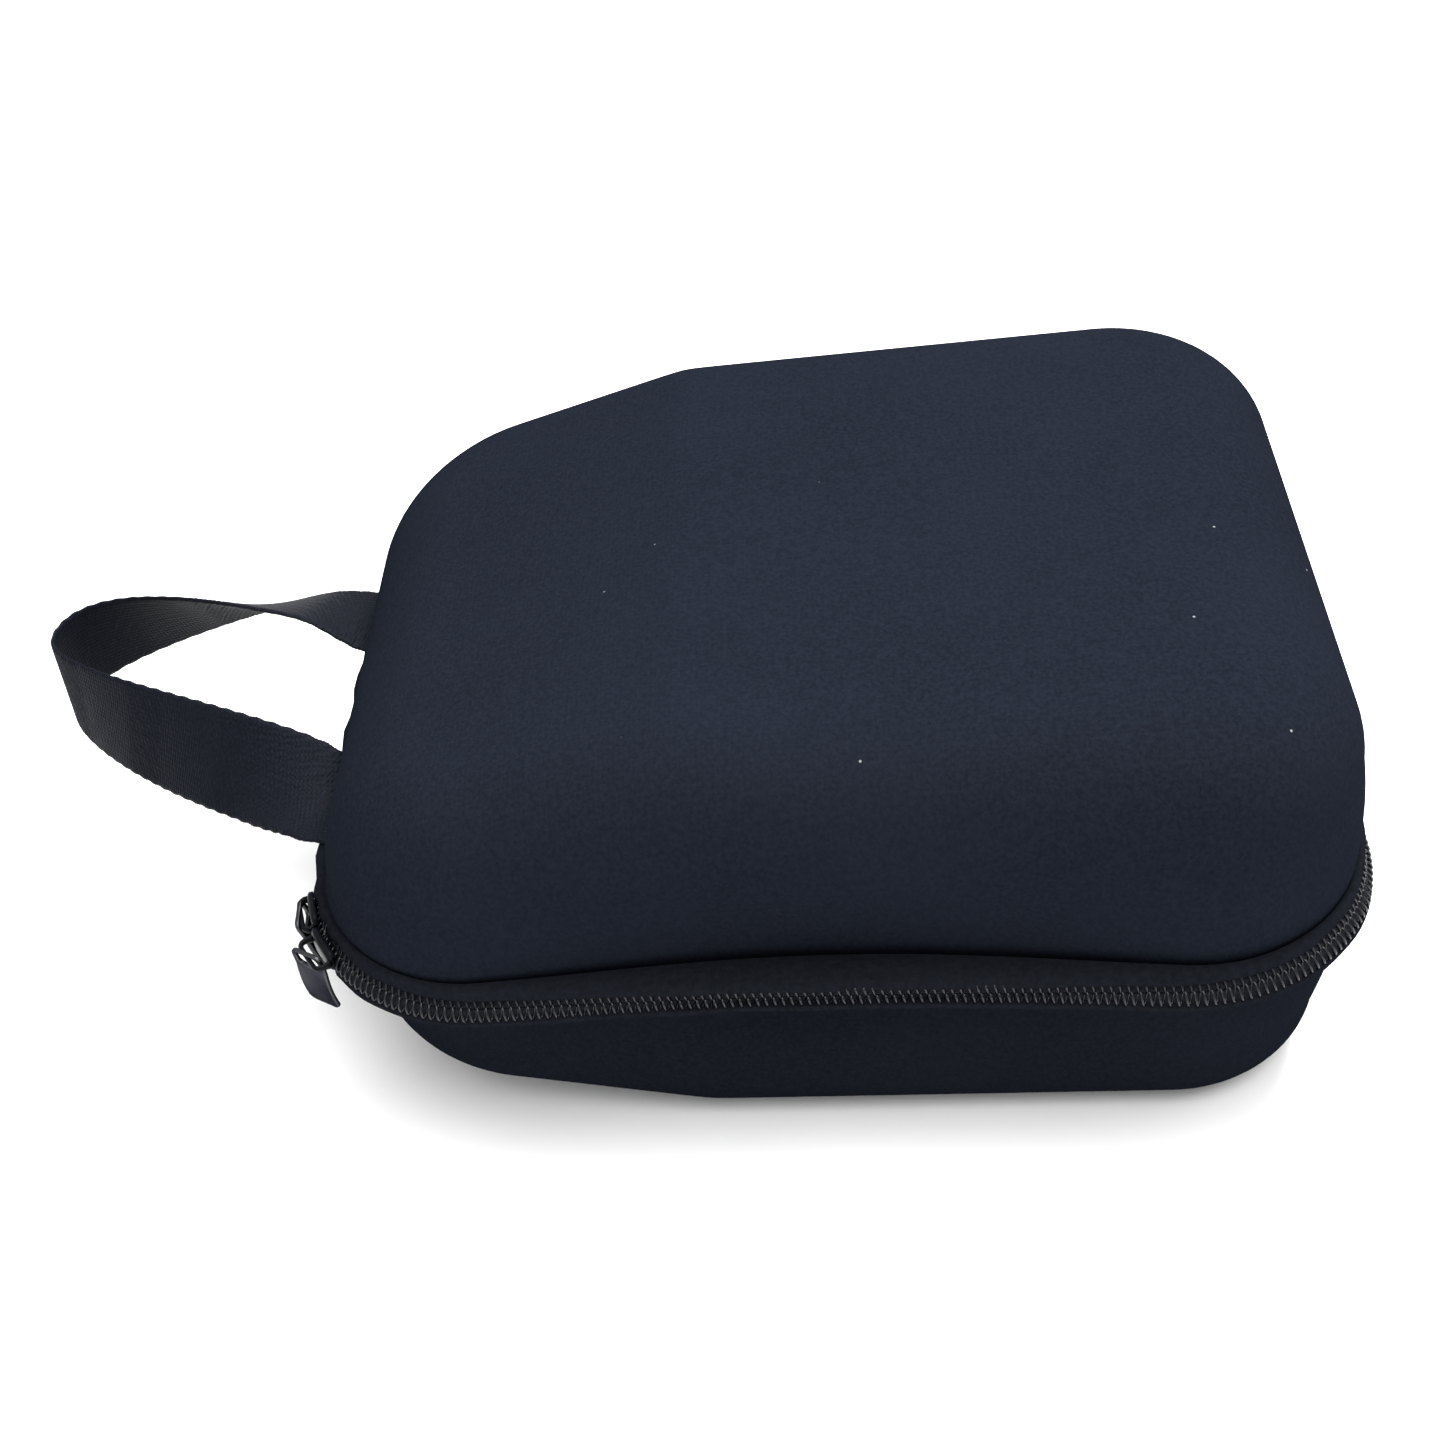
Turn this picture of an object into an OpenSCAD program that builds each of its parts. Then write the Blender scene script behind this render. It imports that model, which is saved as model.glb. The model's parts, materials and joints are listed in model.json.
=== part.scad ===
// Zippered hard carrying case for headphones: two moulded foam shells, a coil zipper
// and a webbing handle loop. Z is up, the case lies on its flat underside at z = 0,
// +X points to the wide end and -Y to the side that opens.

/* [Plan] */
// Length of the shells at the seam
case_len = 210; // [190:1:230]
// Width at the wide end, before its corners are rounded
wide_w = 178; // [170:1:190]
// Width at the narrow end, where the handle is, before its corners are rounded
narrow_w = 160; // [150:1:168]
// Radius of the four corners in plan
corner_r = 37; // [34:1:42]
// How far the long walls are drawn in at the seam, at mid length
waist = 6; // [0:0.5:8]
// How far the zipper stands out from the walls
flange = 4; // [3.5:0.1:5]

/* [Heights] */
// Height of the middle of the zipper above the table
seam_z = 48.5; // [44:0.5:54]
// Height of the lid above its lip, over the wide part
lid_h = 48; // [44:1:54]
// How much lower the lid is at the narrow end
lid_drop = 20; // [12:1:22]
// How far the underside rises towards the narrow end
base_rise = 16; // [8:1:18]
// Where along X both tapers start
taper_x = -28; // [-34:1:-20]
// Rise of the lid's gentle crown
crown = 3; // [0:0.5:5]

/* [Edges] */
// Radius of the lid's shoulder
lid_shoulder = 24; // [18:1:25]
// Lean of the lid's wall
lid_draft = 1.5; // [0.5:0.5:3]
// Radius of the base's shoulder
base_shoulder = 15; // [12:1:16]
// Lean of the base's wall
base_draft = 6; // [3:0.5:7]

/* [Laminate] */
// Thickness of the outer knit cover
cover_t = 0.8; // [0.6:0.1:1]
// Thickness of the moulded foam
foam_t = 3; // [2.5:0.1:4]
// Thickness of the inner lining
lining_t = 0.6; // [0.4:0.1:0.8]

/* [Handle] */
// Width of the webbing
strap_w = 23; // [20:1:25]
// Thickness of the webbing
strap_t = 1.4; // [1:0.1:1.8]
// how far the handle's loop stands out from the narrow end
loop_reach = 74; // [60:1:90]
// how far the loop's end lies towards the far side
loop_y = 30; // [10:1:36]
// how far the loop's end droops below its sewn ends
loop_drop = 1.5; // [0:0.5:8]
// lean of the webbing's face at the loop's end, in degrees
loop_lean = 87; // [60:1:90]

/* [Zipper] */
// Length of a slider
slider_len = 10; // [9:0.5:11]
// Place of the front slider round its corner, in degrees from +X
front_angle = 212; // [212:1:220]
// Place of the rear slider round its corner, in degrees from +X
rear_angle = 196; // [190:1:197]
// Length of a pull tab from its eye to its tip
pull_len = 14; // [12:1:18]
// Width of a pull tab
pull_w = 8; // [6:0.5:9]

/* [Hidden] */

wall_t = cover_t + foam_t + lining_t;
lip_top = 3;          // top of a lip above the middle of the zipper
lip_t = 1.6;          // thickness of a lip
coil_w = 1.8;         // depth of the coil, outside the lip
coil_gap = 0.15;      // half the gap between the two rows of the coil
edge_bow = 1.3;       // how far the zipper's line is drawn in at mid length
clear = 0.35;         // room between pieces that move past each other
hinge_half = 58;      // half the length of the fabric hinge
arc_steps = 6;        // straight pieces in each corner
side_x = [50, 32, 12, -8, taper_x, -50];
fabric_black = [0.07, 0.08, 0.11];
webbing_black = [0.06, 0.06, 0.07];
nylon_black = [0.05, 0.05, 0.06];
lining_black = [0.10, 0.10, 0.11];
gunmetal = [0.33, 0.34, 0.36];

// ---- plan outline ----

taper = (wide_w - narrow_w) / 2 / case_len;
side_angle = atan(taper);
function half_w(x) = narrow_w / 2 + (x + case_len / 2) * taper;
function corner_y(x) = half_w(x) - corner_r / cos(side_angle);
wide_c = [case_len / 2 - corner_r, corner_y(case_len / 2 - corner_r)];
narrow_c = [corner_r - case_len / 2, corner_y(corner_r - case_len / 2)];

function arc(c, r, from, to) = [for (i = [0:arc_steps])
    let(a = from + (to - from) * i / arc_steps) c + r * [cos(a), sin(a)]];
function bow_at(x) = max(0, 1 - pow(x / 68, 2));
// Far half of the outline, inset by d and drawn in by b at mid length.
function half_ring(d, b) = concat(
    arc(wide_c, corner_r - d, 0, 90 + side_angle),
    [for (x = side_x) [x, half_w(x) - d / cos(side_angle) - b * bow_at(x)]],
    arc(narrow_c, corner_r - d, 90 + side_angle, 180));
function ring(d, b) = let(h = half_ring(d, b), n = len(h)) concat(h,
    [for (i = [n - 1:-1:0]) [h[i][0], -h[i][1]]]);
ring_n = len(ring(0, 0));

// ---- moulded shells ----

// Height lost at x where the case is tapered by drop at the narrow end.
function lost(x, drop) = drop * max(0, taper_x - x) / (taper_x + case_len / 2);

// One face of a shell, inset by t from the outside, as rings from the rim to the crown.
function wall_rings(t, h, drop, r, draft) = [for (s = [0, 0.5, 1])
    [for (p = ring(t + draft * s, waist * (1 - s)))
        [p[0], p[1], s * (h - lost(p[0], drop) - r)]]];
function shoulder_rings(t, h, drop, r, draft) = [for (a = [22.5:22.5:90])
    [for (p = ring(draft + r - (r - t) * cos(a), 0))
        [p[0], p[1], h - lost(p[0], drop) - r + (r - t) * sin(a)]]];
function crown_ring(t, h, drop, r, draft, rise, k) = [for (p = ring(draft + r, 0))
    [p[0] * k, p[1] * k, h - t - lost(p[0] * k, drop) + rise * (1 - k * k)]];
function face_rings(t, h, drop, r, draft, rise) = concat(
    wall_rings(t, h, drop, r, draft),
    shoulder_rings(t, h, drop, r, draft),
    [crown_ring(t, h, drop, r, draft, rise, 0.6)]);

function flat_list(rows) = [for (row = rows) each row];
// Faces between ring a and the next one, with the outside to the left of the walk.
function band(a, b, flip) = [for (i = [0:ring_n - 1])
    let(j = (i + 1) % ring_n, p = a * ring_n, q = b * ring_n)
    each flip ? [[p + i, q + j, p + j], [p + i, q + i, q + j]]
              : [[p + i, p + j, q + j], [p + i, q + j, q + i]]];
// Faces straight across a ring, from each point to its mirror point.
function across(a, flip) = [for (i = [0:ring_n / 2 - 2])
    let(p = a * ring_n, q = p + ring_n - 1)
    each flip ? [[p + i, q - i - 1, p + i + 1], [p + i, q - i, q - i - 1]]
              : [[p + i, p + i + 1, q - i - 1], [p + i, q - i - 1, q - i]]];

// The layer of a shell between insets t0 and t1, opening downwards at z = 0.
module layer(t0, t1, h, drop, r, draft, rise) {
    outer = face_rings(t0, h, drop, r, draft, rise);
    inner = face_rings(t1, h, drop, r, draft, rise);
    m = len(outer);
    faces = concat(
        flat_list([for (k = [0:m - 2]) band(k, k + 1, false)]),
        across(m - 1, false),
        flat_list([for (k = [0:m - 2]) band(m + k, m + k + 1, true)]),
        across(2 * m - 1, true),
        band(0, m, true));
    polyhedron(points = flat_list(concat(outer, inner)), faces = [for (f = faces) [f[2], f[1], f[0]]]);
}

module lid_layer(t0, t1) {
    translate([0, 0, seam_z + lip_top])
        layer(t0, t1, lid_h, lid_drop, lid_shoulder, lid_draft, crown);
}

module base_layer(t0, t1) {
    h = seam_z - lip_top;
    translate([0, 0, h])
        mirror([0, 0, 1])
            layer(t0, t1, h, base_rise, base_shoulder, base_draft, 0);
}

// ---- rim pieces ----

// A flat band round the rim between two insets, from z0 to z1 above the seam.
module rim_band(in_d, in_bow, out_d, out_bow, z0, z1) {
    translate([0, 0, seam_z + z0])
        linear_extrude(z1 - z0)
            difference() {
                polygon(ring(out_d, out_bow));
                polygon(ring(in_d, in_bow));
            }
}

// The same band, left out along the hinge.
module open_band(in_d, in_bow, out_d, out_bow, z0, z1) {
    difference() {
        rim_band(in_d, in_bow, out_d, out_bow, z0, z1);
        hinge_block(0);
    }
}

// The space along the far side that the fabric hinge takes.
module hinge_block(shorter) {
    translate([-hinge_half + shorter, corner_y(0), 0])
        cube([2 * (hinge_half - shorter), wide_w, 2 * seam_z]);
}

module lip(z0, z1) {
    rim_band(wall_t, waist, coil_w - flange, edge_bow, z0, z1);
}

module zipper_tape(z0, z1) {
    open_band(2, waist, coil_w - flange, edge_bow, z0, z1);
}

module zipper_coil(z0, z1) {
    open_band(coil_w - flange, edge_bow, -flange, edge_bow, z0, z1);
}

module binding(gap, z0, z1) {
    rim_band(wall_t + gap + 1.6, waist, wall_t + gap, waist, z0, z1);
}

module base_cover() {
    color(fabric_black)
        base_layer(0, cover_t);
}

module base_shell() {
    color("dimgray")
        base_layer(cover_t, cover_t + foam_t);
}

module base_lining() {
    color(lining_black)
        base_layer(cover_t + foam_t, wall_t);
}

module base_lip() {
    color(fabric_black)
        lip(-lip_top, lip_t - lip_top);
}

module base_zipper_tape() {
    color(webbing_black)
        zipper_tape(lip_t - lip_top, -coil_gap);
}

module base_zipper_coil() {
    color(nylon_black)
        zipper_coil(-lip_top + 0.1, -coil_gap);
}

module base_binding() {
    color(webbing_black)
        binding(0.8, -5, -0.3);
}

module hinge_panel() {
    color(fabric_black)
        intersection() {
            rim_band(coil_w - flange, edge_bow, coil_w - flange - 1, edge_bow, -lip_top, lip_top);
            hinge_block(0.5);
        }
}

module hinge_lining() {
    color(lining_black)
        intersection() {
            rim_band(wall_t + 3.4, waist, wall_t + 2.7, waist, -4, 4);
            hinge_block(4);
        }
}

module zipper_end_tabs() {
    color(fabric_black)
        intersection() {
            rim_band(-flange - 0.1, edge_bow, -flange - 0.9, edge_bow, -lip_top, -0.3);
            for (x = [-hinge_half - 4, hinge_half + 4])
                translate([x - 4, corner_y(0), 0])
                    cube([8, wide_w, 2 * seam_z]);
        }
}

module lid_cover() {
    color(fabric_black)
        lid_layer(0, cover_t);
}

module lid_shell() {
    color("dimgray")
        lid_layer(cover_t, cover_t + foam_t);
}

module lid_lining() {
    color(lining_black)
        lid_layer(cover_t + foam_t, wall_t);
}

module lid_lip() {
    color(fabric_black)
        lip(lip_top - lip_t, lip_top);
}

module lid_zipper_tape() {
    color(webbing_black)
        zipper_tape(coil_gap, lip_top - lip_t);
}

module lid_zipper_coil() {
    color(nylon_black)
        zipper_coil(coil_gap, lip_top - 0.1);
}

module lid_binding() {
    color(webbing_black)
        binding(0.6, 0.3, 5);
}

// ---- pocket in the lid ----

pocket_z = 6;      // height of the mesh above the seam
pocket_edge = 6;   // Y of the mesh's free edge
pocket_inset = wall_t + 1.3;

module pocket_slice(y0, y1, z0, z1) {
    translate([0, 0, seam_z + z0])
        linear_extrude(z1 - z0)
            intersection() {
                polygon(ring(pocket_inset, waist - 0.8));
                translate([-case_len / 2, y0])
                    square([case_len, y1 - y0]);
            }
}

module mesh_pocket() {
    color([0.13, 0.13, 0.14])
        pocket_slice(pocket_edge, wide_w / 2, pocket_z, pocket_z + 0.8);
}

module pocket_elastic() {
    color(webbing_black)
        pocket_slice(pocket_edge - 8, pocket_edge, pocket_z - 0.3, pocket_z + 1.1);
}

// ---- handle ----

strap_z = seam_z + lip_top + strap_t / 2;
pivot_x = -case_len / 2 - flange - 1.6;
near_y = -26;      // where the two ends of the webbing are sewn
far_y = 38;
leg_x = pivot_x - 0.8;   // where the loop leaves its sewn ends
loop_x = -case_len / 2 - loop_reach;
leg_steps = 7;
// A leg of the loop: its curve in plan from the sewn end to the loop's end, how far it arches
// up, and how soon its face turns outwards.
near_leg = [
    [[leg_x, near_y], [-case_len / 2 - 16, near_y + 5.5], [loop_x, loop_y - 17], [loop_x, loop_y]],
    3, 0.8];
far_leg = [
    [[leg_x, far_y], [-case_len / 2 - 35, far_y + 7.5], [loop_x, loop_y + 21], [loop_x, loop_y]],
    4, 1];

function bezier(p, t) = pow(1 - t, 3) * p[0] + 3 * t * pow(1 - t, 2) * p[1]
    + 3 * t * t * (1 - t) * p[2] + pow(t, 3) * p[3];
// X, Y, Z and how far the face leans outwards, at the share t of a leg.
function station(leg, t) = let(p = bezier(leg[0], t), out = max(0, (p[0] - leg_x) / (loop_x - leg_x)))
    [p[0], p[1], strap_z - loop_drop * out + leg[1] * sin(180 * sqrt(out)), loop_lean * pow(out, leg[2])];

route = [
    for (i = [0:leg_steps]) station(near_leg, i / leg_steps),
    for (i = [leg_steps - 1:-1:0]) station(far_leg, i / leg_steps)];
route_n = len(route);

function unit(v) = v / norm(v);
function place(i) = [route[i][0], route[i][1], route[i][2]];
function heading(i) = i == 0 ? [-1, 0, 0] : i == route_n - 1 ? [1, 0, 0]
    : unit(place(i + 1) - place(i - 1));
function outward(i) = unit(cross([0, 0, 1], heading(i)));
function upward(i) = cross(heading(i), outward(i));
function face_of(i) = cos(route[i][3]) * upward(i) + sin(route[i][3]) * outward(i);
function strap_section(i) = let(f = face_of(i) * strap_t / 2, w = cross(heading(i), face_of(i)) * strap_w / 2)
    [place(i) + w + f, place(i) - w + f, place(i) - w - f, place(i) + w - f];

module handle_strap() {
    points = [for (i = [0:route_n - 1]) each strap_section(i)];
    last = 4 * (route_n - 1);
    sides = [for (i = [0:route_n - 2], k = [0:3])
        let(p = 4 * i + k, q = 4 * i + (k + 1) % 4)
        each [[p, q, p + 4], [q, q + 4, p + 4]]];
    ends = [[0, 2, 1], [0, 3, 2], [last, last + 1, last + 2], [last, last + 2, last + 3]];
    color(webbing_black)
        polyhedron(points = points, faces = concat(sides, ends));
}

module handle_ends() {
    color(webbing_black)
        for (y = [near_y, far_y])
            translate([pivot_x + 0.8, y - strap_w / 2, seam_z + lip_top])
                cube([-case_len / 2 - pivot_x - 1, strap_w, strap_t]);
}

module handle_bartacks() {
    color(nylon_black)
        for (y = [near_y, far_y])
            translate([-case_len / 2 - 4, y - strap_w / 2 + 2, seam_z + lip_top + strap_t])
                cube([1.6, strap_w - 4, 0.4]);
}

// ---- sliders and pulls ----

plate_t = 0.8;                        // thickness of a slider's plate
plate_h = 8;                          // height of a slider's plate
plate_r = corner_r + flange + 0.25;   // inner face of the plate from the corner's centre
bar_r = 0.6;                          // radius of the bridge's bar
bar_out = plate_r + plate_t + 2.7;    // the bar from the corner's centre
bridge_len = 10;                      // length of the bridge
head_up = 1.5;                        // top of a pull above the bar
hole_w = 5.8;                         // width of the hole in a pull
hole_h = 3;                           // height of the hole in a pull
pull_t = 0.9;                         // thickness of a pull
pull_lean = 4;                        // how far a pull hangs inwards

// Places a piece on the near narrow corner: X is outwards and Y runs along the zipper.
module at_corner(angle) {
    translate([narrow_c[0], -narrow_c[1], seam_z])
        rotate([0, 0, angle])
            children();
}

module slider_body(angle) {
    under = lip_top + clear;
    color(gunmetal)
        at_corner(angle)
            union() {
                translate([plate_r, -slider_len / 2, -plate_h / 2])
                    cube([plate_t, slider_len, plate_h]);
                translate([plate_r - 4, -slider_len / 2, -under - 1])
                    cube([4 + plate_t, slider_len, 1]);
            }
}

module slider_bridge(angle) {
    leg = 1;
    color(gunmetal)
        at_corner(angle)
            union() {
                for (y = [-bridge_len / 2, bridge_len / 2 - leg])
                    translate([plate_r + plate_t, y, -0.8])
                        cube([bar_out - plate_r - plate_t + bar_r + 0.1, leg, 1.6]);
                translate([bar_out, -bridge_len / 2 + 0.2, 0])
                    rotate([-90, 0, 0])
                        cylinder(h = bridge_len - 0.4, r = bar_r, $fn = 32);
            }
}

// A rounded rectangle, w wide, from z0 up to z1.
module rounded(w, z0, z1, r) {
    hull()
        for (y = [r - w / 2, w / 2 - r], z = [z0 + r, z1 - r])
            translate([y, z])
                circle(r = r, $fn = 32);
}

// A pull hangs on the bar by the slot in its head, turned out of the bar's line.
module pull(angle, turn) {
    hole_top = bar_r + 0.15;
    color(gunmetal)
        at_corner(angle)
            translate([bar_out, 0, 0])
                rotate([0, pull_lean, turn])
                    rotate([90, 0, 90])
                        translate([0, 0, -pull_t / 2])
                            linear_extrude(pull_t)
                                difference() {
                                    rounded(pull_w, -pull_len, head_up, 1.5);
                                    rounded(hole_w, hole_top - hole_h, hole_top, 0.7);
                                }
}

module slider_front_body() { slider_body(front_angle); }
module slider_front_bridge() { slider_bridge(front_angle); }
module pull_front() { pull(front_angle, 26); }
module slider_rear_body() { slider_body(rear_angle); }
module slider_rear_bridge() { slider_bridge(rear_angle); }
module pull_rear() { pull(rear_angle, -26); }

base_cover();
base_shell();
base_lining();
base_lip();
base_zipper_tape();
base_zipper_coil();
base_binding();
hinge_panel();
hinge_lining();
zipper_end_tabs();
lid_cover();
lid_shell();
lid_lining();
lid_lip();
lid_zipper_tape();
lid_zipper_coil();
lid_binding();
mesh_pocket();
pocket_elastic();
handle_ends();
handle_bartacks();
handle_strap();
slider_front_body();
slider_front_bridge();
pull_front();
slider_rear_body();
slider_rear_bridge();
pull_rear();
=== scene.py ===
"""Looks of a zippered headphone carrying case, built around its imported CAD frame.

Lengths are in millimetres until make_mesh() turns them into metres. Z is up, +X points to the
wide end, and -Y is the side that opens.
"""

import json
import math

import bmesh
import bpy
import numpy as np
from mathutils import Matrix, Vector


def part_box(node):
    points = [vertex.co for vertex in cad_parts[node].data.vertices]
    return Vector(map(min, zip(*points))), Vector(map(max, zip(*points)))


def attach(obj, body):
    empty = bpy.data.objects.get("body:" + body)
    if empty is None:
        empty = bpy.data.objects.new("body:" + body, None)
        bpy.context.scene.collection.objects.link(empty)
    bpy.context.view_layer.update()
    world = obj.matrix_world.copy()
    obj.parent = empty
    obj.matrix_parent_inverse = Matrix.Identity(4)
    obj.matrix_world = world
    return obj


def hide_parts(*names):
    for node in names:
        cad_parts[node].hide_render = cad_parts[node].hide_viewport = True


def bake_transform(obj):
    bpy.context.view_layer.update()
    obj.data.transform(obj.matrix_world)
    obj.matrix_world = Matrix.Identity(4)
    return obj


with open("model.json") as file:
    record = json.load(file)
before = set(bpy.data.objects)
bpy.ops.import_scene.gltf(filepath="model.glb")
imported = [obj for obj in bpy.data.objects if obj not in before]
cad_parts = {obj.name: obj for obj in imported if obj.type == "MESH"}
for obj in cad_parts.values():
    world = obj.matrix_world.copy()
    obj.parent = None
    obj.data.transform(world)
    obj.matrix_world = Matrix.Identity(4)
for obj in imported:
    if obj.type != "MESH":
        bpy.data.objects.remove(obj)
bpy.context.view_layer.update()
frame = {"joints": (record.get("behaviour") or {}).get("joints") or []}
MM = 0.001


def span(node, axis):
    """Lowest and highest coordinate of a CAD node along an axis, in millimetres."""
    low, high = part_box(node)
    return low[axis] / MM, high[axis] / MM


def joint(name):
    """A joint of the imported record."""
    return next(j for j in frame["joints"] if j["name"] == name)


# ---- driving sizes ----

LENGTH = span("lid_cover", 0)[1] - span("lid_cover", 0)[0]
NARROW_W, WIDE_W = 160.0, 178.0  # width of the two ends, before the corners are rounded
CORNER_R = 37.0
WAIST = 6.0  # how far the long walls are drawn in at the seam
EDGE_BOW = 1.3  # the same for the zipper's line
TAPER_X = -28.0  # where both tapers start
TAPER_SOFT = 2.0  # half-length of the bend there
LID_DROP, BASE_RISE = 20.0, 16.0
LID_SHOULDER, BASE_SHOULDER = 24.0, 15.0
LID_DRAFT, BASE_DRAFT = 1.5, 6.0
CROWN = 3.0
END_BULGE = 1.1  # how much the wall swells at the wide end
COVER_T, FOAM_T, LINING_T = 0.8, 3.0, 0.6
WALL_T = COVER_T + FOAM_T + LINING_T

LIP_LOW = span("base_cover", 2)[1]  # underside of the base's lip
LIP_TOP = span("lid_cover", 2)[0]  # top of the lid's lip
SEAM = (LIP_LOW + LIP_TOP) / 2
LIP_H = LIP_TOP - SEAM
LID_H = 48.0
FLANGE = span("lid_zipper_coil", 0)[1] - span("lid_cover", 0)[1]
HINGE_HALF = span("hinge_panel", 0)[1]
END_TUCK = 1.4  # how much less the rim stands out at the two ends
NEAR_SAG = 1.3  # how much more it stands out along the near side
END_WAVES = 3.4  # how much stronger its ripples are at the narrow end

TAPER = (WIDE_W - NARROW_W) / 2 / LENGTH
SIDE_ANGLE = math.atan(TAPER)


def corner_centre(x):
    """Centre of the far corner whose arc centre lies at x."""
    y = NARROW_W / 2 + (x + LENGTH / 2) * TAPER - CORNER_R / math.cos(SIDE_ANGLE)
    return np.array([x, y])


WIDE_C = corner_centre(LENGTH / 2 - CORNER_R)
NARROW_C = corner_centre(CORNER_R - LENGTH / 2)
MIRROR = np.array([1.0, -1.0])


# ---- camera ----


def add_camera():
    """A camera above the side that opens, looking down on the lid."""
    azimuth, elevation, roll = np.radians([5.2, 39.7, -7.0])
    distance, lens, sensor = 474.0, 53.7, 36.0
    target = np.array([-22.4, -6.4, LIP_TOP])
    back = np.array(
        [
            math.sin(azimuth) * math.cos(elevation),
            -math.cos(azimuth) * math.cos(elevation),
            math.sin(elevation),
        ]
    )
    right = np.array([math.cos(azimuth), math.sin(azimuth), 0.0])
    up = np.cross(back, right)
    turned_right = right * math.cos(roll) + up * math.sin(roll)
    turned_up = up * math.cos(roll) - right * math.sin(roll)
    data = bpy.data.cameras.new("camera")
    data.sensor_width = sensor
    data.lens = lens
    data.clip_start = 0.01
    camera = bpy.data.objects.new("camera", data)
    place = (target + back * distance) * MM
    camera.matrix_world = Matrix(
        [[turned_right[i], turned_up[i], back[i], place[i]] for i in range(3)] + [[0, 0, 0, 1]]
    )
    bpy.context.scene.collection.objects.link(camera)
    bpy.context.scene.camera = camera


# ---- materials ----


class Nodes:
    """A material's node tree, with short calls to add and join nodes."""

    def __init__(self, name):
        self.material = bpy.data.materials.new(name)
        self.material.use_nodes = True
        self.tree = self.material.node_tree
        self.shader = self.tree.nodes["Principled BSDF"]
        self.coords = self.add("ShaderNodeTexCoord").outputs["Object"]

    def add(self, kind, inputs=(), **settings):
        """Adds a node. inputs are (socket, value or output socket)."""
        node = self.tree.nodes.new(kind)
        for key, value in settings.items():
            setattr(node, key, value)
        for socket, value in inputs:
            if isinstance(value, bpy.types.NodeSocket):
                self.tree.links.new(value, node.inputs[socket])
            else:
                node.inputs[socket].default_value = value
        return node

    def set(self, **values):
        """Sets constants on the shader's own sockets."""
        for key, value in values.items():
            self.shader.inputs[key.replace("_", " ")].default_value = value

    def link(self, output, socket):
        """Joins an output to one of the shader's own sockets."""
        self.tree.links.new(output, self.shader.inputs[socket])

    def noise(self, scale, detail=2.0, rough=0.5):
        """Soft random values."""
        return self.add(
            "ShaderNodeTexNoise",
            [("Vector", self.coords), ("Scale", scale), ("Detail", detail), ("Roughness", rough)],
        ).outputs["Fac"]

    def cells(self, scale):
        """Distance to the middle of the nearest random cell."""
        return self.add(
            "ShaderNodeTexVoronoi", [("Vector", self.coords), ("Scale", scale)]
        ).outputs["Distance"]

    def waves(self, scale, axis, distortion=0.0):
        """Parallel bands across an axis."""
        return self.add(
            "ShaderNodeTexWave",
            [("Vector", self.coords), ("Scale", scale), ("Distortion", distortion), ("Detail", 1.0)],
            bands_direction=axis,
        ).outputs["Fac"]

    def math(self, operation, a, b=0.0):
        """Result of an arithmetic operation on two values."""
        return self.add("ShaderNodeMath", [(0, a), (1, b)], operation=operation).outputs[0]

    def ramp(self, value, low, high):
        """Maps value from low..high to 0..1."""
        return self.add(
            "ShaderNodeMapRange", [("Value", value), ("From Min", low), ("From Max", high)]
        ).outputs["Result"]

    def mix(self, factor, a, b):
        """Colour a at factor 0, colour b at factor 1."""
        node = self.add("ShaderNodeMix", data_type="RGBA")
        for socket, value in ((0, factor), (6, a), (7, b)):
            if isinstance(value, bpy.types.NodeSocket):
                self.tree.links.new(value, node.inputs[socket])
            else:
                node.inputs[socket].default_value = value
        return node.outputs[2]

    def bump(self, height, distance, strength=1.0, normal=None):
        """Surface direction with a height field pressed into it."""
        inputs = [("Height", height), ("Distance", distance), ("Strength", strength)]
        if normal is not None:
            inputs.append(("Normal", normal))
        return self.add("ShaderNodeBump", inputs).outputs["Normal"]


def shade(colour, factor):
    """A colour made lighter or darker, with full opacity."""
    return (*[c * factor for c in colour], 1.0)


def knit_material(name, colour, stitch=0.5, sheen=0.015, specks=True):
    """Fine matt knit bonded to foam: tiny loops, soft unevenness and a little dust."""
    n = Nodes(name)
    cloud = n.ramp(n.noise(18.0, 4.0, 0.6), 0.3, 0.7)
    grain = n.ramp(n.noise(0.55 / (stitch * MM), 3.0, 0.75), 0.36, 0.64)
    tone = n.mix(cloud, shade(colour, 0.85), shade(colour, 1.1))
    tone = n.mix(n.math("MULTIPLY", grain, 0.6), tone, shade(colour, 1.7))
    if specks:
        dust = n.ramp(n.cells(110.0), 0.035, 0.02)
        sparse = n.ramp(n.noise(55.0, 1.0), 0.58, 0.62)
        tone = n.mix(n.math("MULTIPLY", dust, sparse), tone, (0.2, 0.2, 0.21, 1.0))
    n.link(tone, "Base Color")
    loops = n.math("ADD", n.waves(0.16 / (stitch * MM), "X", 1.0), n.waves(0.16 / (stitch * MM), "Y", 1.0))
    fine = n.math("ADD", loops, n.math("MULTIPLY", grain, 2.0))
    slow = n.bump(n.noise(60.0, 3.0), 0.0004, 0.3)
    n.link(n.bump(fine, 0.00005, 0.4, slow), "Normal")
    n.set(Roughness=0.9, Specular_IOR_Level=0.0, Sheen_Weight=sheen, Sheen_Roughness=0.35)
    n.set(Sheen_Tint=(0.72, 0.80, 0.95, 1.0))
    return n.material


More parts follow.
